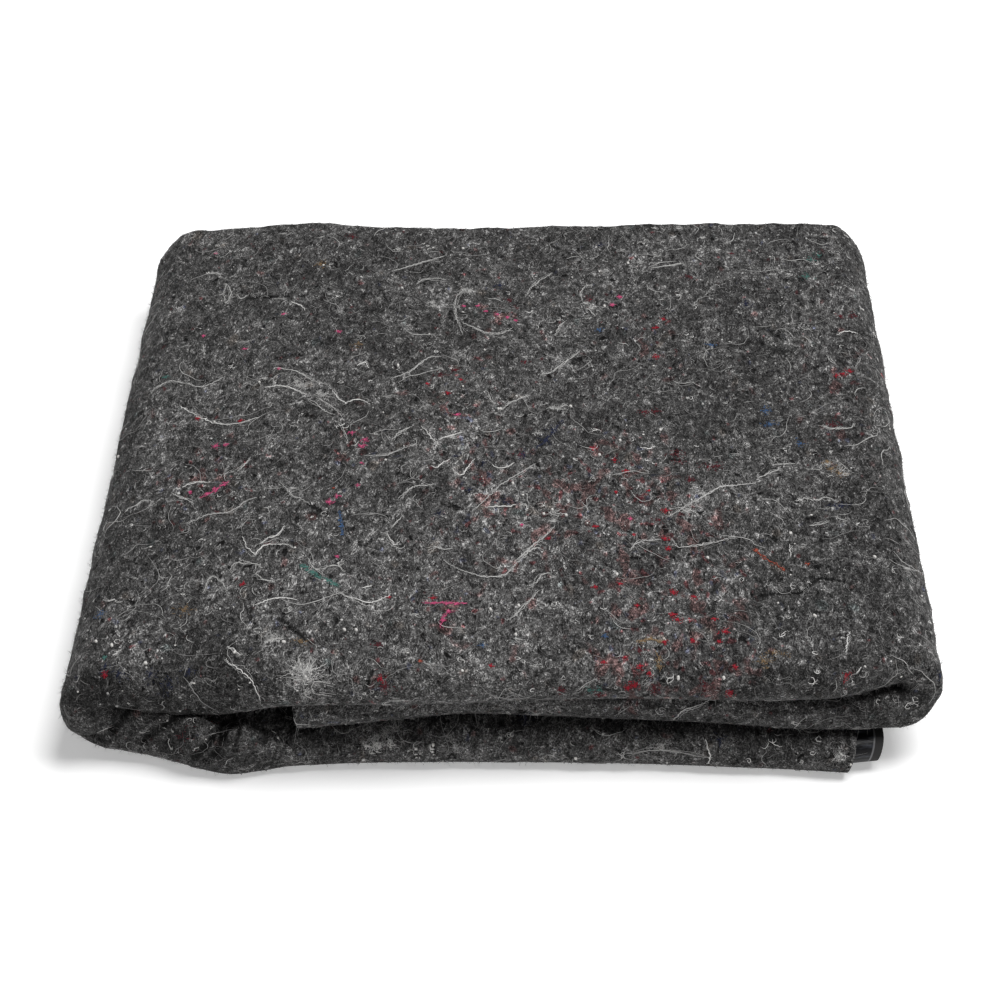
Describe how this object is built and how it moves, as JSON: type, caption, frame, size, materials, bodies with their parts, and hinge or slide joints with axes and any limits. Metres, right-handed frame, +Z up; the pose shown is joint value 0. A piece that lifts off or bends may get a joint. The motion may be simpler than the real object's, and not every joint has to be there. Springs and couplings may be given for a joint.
{
  "type": "folded_felt_sheet",
  "caption": "Dark grey recycled-fibre cover felt with a black film backing, one sheet halved along its length and letter-folded into a soft square stack",
  "frame": {"origin": "On the ground under the middle of the folded stack's bounding box", "axes": "+Z up through the layers; -Y towards the rounded fold edges that face the viewer; +X along them to the right, where the letter fold turns over"},
  "size_m": [0.375, 0.3878, 0.0556],
  "materials": {
    "felt": "mottled dark grey needled fibre, matte, with a thin black film on the inner face"
  },
  "bodies": {
    "root": {"felt_sheet": "felt"}
  },
  "joints": []
}
